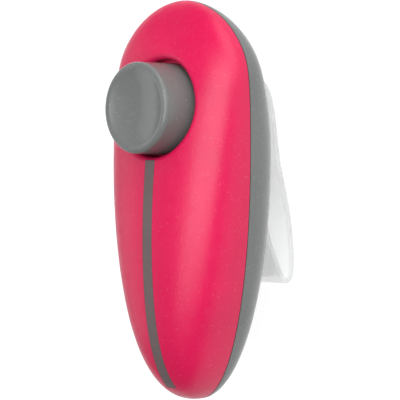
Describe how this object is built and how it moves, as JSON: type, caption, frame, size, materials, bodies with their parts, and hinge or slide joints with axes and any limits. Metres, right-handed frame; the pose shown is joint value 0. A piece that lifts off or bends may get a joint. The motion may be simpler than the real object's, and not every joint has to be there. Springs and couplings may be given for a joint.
{
  "type": "clicker trainer",
  "caption": "Egg-shaped hand-held pet training clicker with a raised round push button over a steel click leaf and an elastic finger strap on its back.",
  "frame": {"origin": "bottom centre of the bounding box, under the finger strap's lowest point, with the clicker lying on its back", "axes": "+Z towards the front, where the button faces, +Y along the case to the head end with the button, +X across the case"},
  "size_m": [0.0288, 0.065, 0.0315],
  "materials": {
    "crimson_plastic": "satin, fine moulded grain",
    "grey_plastic": "satin, fine moulded grain",
    "grey_inlay": "satin",
    "inner_plastic": "moulded",
    "spring_steel": "rolled strip",
    "screw_steel": "zinc plated",
    "clear_elastomer": "translucent, milky"
  },
  "bodies": {
    "case": {"front_shell": "crimson_plastic", "stripe_inlay": "grey_inlay", "back_shell": "grey_plastic", "leaf_carrier": "inner_plastic", "leaf_root": "spring_steel", "leaf_clamp": "screw_steel", "leaf_screws": "screw_steel", "carrier_screws": "screw_steel", "case_screws": "screw_steel", "finger_strap": "clear_elastomer", "strap_pin_upper": "screw_steel", "strap_pin_lower": "screw_steel"},
    "button": {"button_cap": "grey_plastic", "button_plunger": "inner_plastic"},
    "leaf": {"leaf_tongue": "spring_steel"}
  },
  "joints": [
    {"name": "button_press", "type": "slide", "parent": "case", "child": "button", "axis": [0, -0.0854, -0.9963], "range_m": [0, 0.0022], "stiffness_N_per_m": 1800, "springref_m": -0.0005},
    {"name": "leaf_bend", "type": "hinge", "parent": "case", "child": "leaf", "pos_m": [0, -0.006, 0.01777], "axis": [-1, 0, 0], "range_deg": [0, 6.6], "stiffness_Nm_per_rad": 0.02}
  ],
  "couplings": [
    {"joint": "leaf_bend", "follows": "button_press", "rad_per_m": 50}
  ]
}
